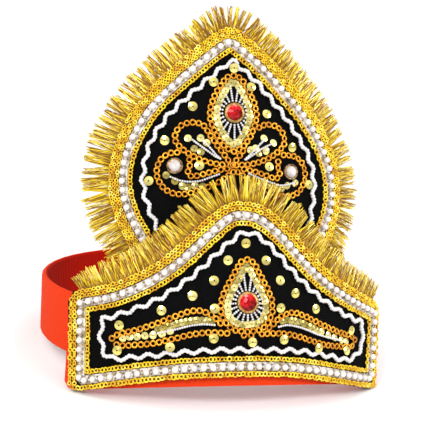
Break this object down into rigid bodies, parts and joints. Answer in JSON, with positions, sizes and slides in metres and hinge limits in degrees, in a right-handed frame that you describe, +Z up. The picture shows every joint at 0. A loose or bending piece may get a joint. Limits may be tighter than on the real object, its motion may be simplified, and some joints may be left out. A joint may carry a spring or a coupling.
{
  "type": "costume crown",
  "caption": "Costume crown: felt head band carrying a curved black brow panel and a taller leaf-shaped rear panel, with gold trims, pearls, sequins, red stones and tinsel fringe.",
  "frame": {"origin": "centre of the bounding box, at the floor the crown rests on", "axes": "+Z up, -Y the way the wearer faces, +X to the left hand of the wearer"},
  "size_m": [0.1932, 0.2028, 0.2135],
  "materials": {
    "felt": "matte red-orange felt",
    "velvet": "black velvet",
    "gold_trim": "bright gold lace and chain",
    "tinsel": "gold tinsel",
    "ring_chain": "orange-gold ring chain",
    "sequin": "pale gold sequin",
    "pearl": "white pearl bead",
    "stone": "polished red stone in a gold setting"
  },
  "bodies": {
    "root": {"front_fringe": "tinsel", "front_inner_chain": "gold_trim", "front_lace_bottom": "gold_trim", "front_lace_top": "gold_trim", "front_leaf_sequins_left": "sequin", "front_leaf_sequins_right": "sequin", "front_lining": "felt", "front_ornament": "ring_chain", "front_panel": "velvet", "front_pearls": "pearl", "front_sequin_00": "sequin", "front_sequin_01": "sequin", "front_sequin_02": "sequin", "front_sequin_03": "sequin", "front_sequin_04": "sequin", "front_sequin_05": "sequin", "front_sequin_06": "sequin", "front_sequin_07": "sequin", "front_sequin_08": "sequin", "front_sequin_09": "sequin", "front_sequin_10": "sequin", "front_sequin_11": "sequin", "front_sequin_12": "sequin", "front_sequin_13": "sequin", "front_sequin_14": "sequin", "front_sequin_15": "sequin", "front_sequin_16": "sequin", "front_sequin_17": "sequin", "front_sequin_18": "sequin", "front_sequin_19": "sequin", "front_stone": "stone", "front_teardrop_sequins": "sequin", "front_zigzag": "pearl", "head_band": "felt", "rear_fringe": "tinsel", "rear_inner_chain": "gold_trim", "rear_lace": "gold_trim", "rear_lower_sequins_left": "sequin", "rear_lower_sequins_right": "sequin", "rear_ornament": "ring_chain", "rear_oval_sequins": "sequin", "rear_panel": "velvet", "rear_pearl_left": "pearl", "rear_pearl_right": "pearl", "rear_pearls": "pearl", "rear_sequin_00": "sequin", "rear_sequin_01": "sequin", "rear_sequin_02": "sequin", "rear_sequin_03": "sequin", "rear_sequin_04": "sequin", "rear_sequin_05": "sequin", "rear_sequin_06": "sequin", "rear_sequin_07": "sequin", "rear_sequin_08": "sequin", "rear_sequin_09": "sequin", "rear_sequin_10": "sequin", "rear_stone": "stone", "rear_zigzag": "pearl"}
  },
  "joints": []
}
